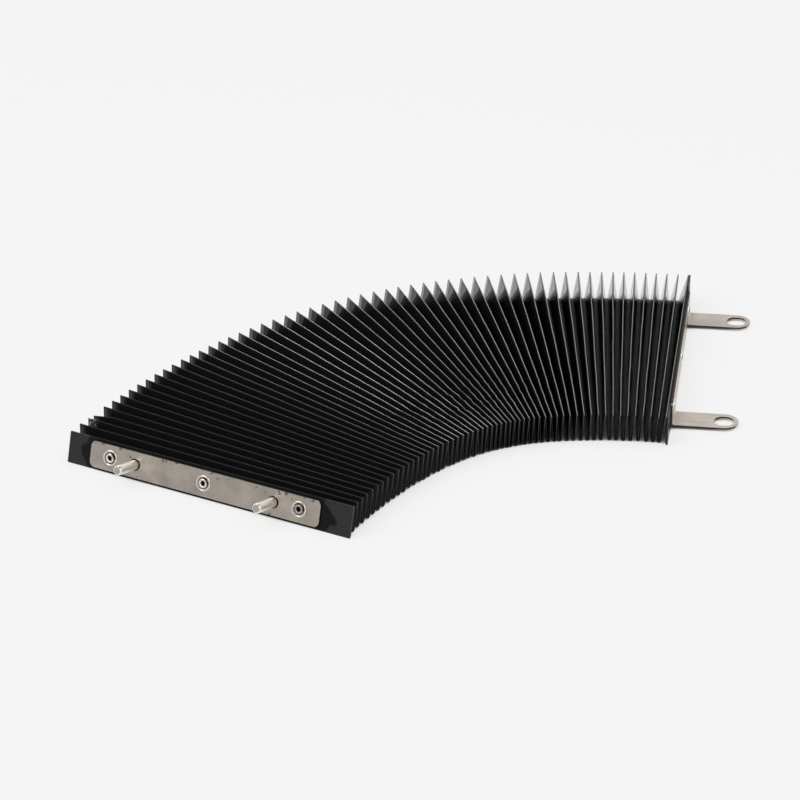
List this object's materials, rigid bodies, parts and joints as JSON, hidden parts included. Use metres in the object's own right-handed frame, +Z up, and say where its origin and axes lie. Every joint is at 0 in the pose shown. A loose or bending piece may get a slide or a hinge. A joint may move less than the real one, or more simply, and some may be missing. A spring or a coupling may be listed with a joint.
{
  "type": "bellows cover",
  "caption": "Folding bellows cover bent sideways in a quarter fan: a pleated plastic sheet between two riveted steel-plated end boards, one with studs, one with slotted lugs.",
  "frame": {"origin": "middle of the far end board's bottom edge, on the surface that the cover lies on", "axes": "+X leaves the far end plate squarely, +Y is the outer side of the bend at that end, +Z is up"},
  "size_m": [0.327, 0.27, 0.0159],
  "materials": {
    "sheet": "semi-gloss",
    "board": "matt",
    "plate_steel": "satin",
    "fastener": "bright zinc"
  },
  "bodies": {
    "far_end": {"far_board": "board", "far_plate": "plate_steel", "far_rivet_outer": "fastener", "far_rivet_middle": "fastener", "far_rivet_inner": "fastener", "folded_sheet": "sheet"},
    "near_end": {"near_board": "board", "near_plate": "plate_steel", "near_stud_outer": "fastener", "near_stud_inner": "fastener", "near_rivet_outer": "fastener", "near_rivet_middle": "fastener", "near_rivet_inner": "fastener"}
  },
  "joints": [
    {"name": "fan_travel", "type": "hinge", "parent": "far_end", "child": "near_end", "pos_m": [-0.0004, -0.2406, 0], "axis": [0, 0, 1], "range_deg": [-24, 45], "deforming": ["folded_sheet"]}
  ]
}
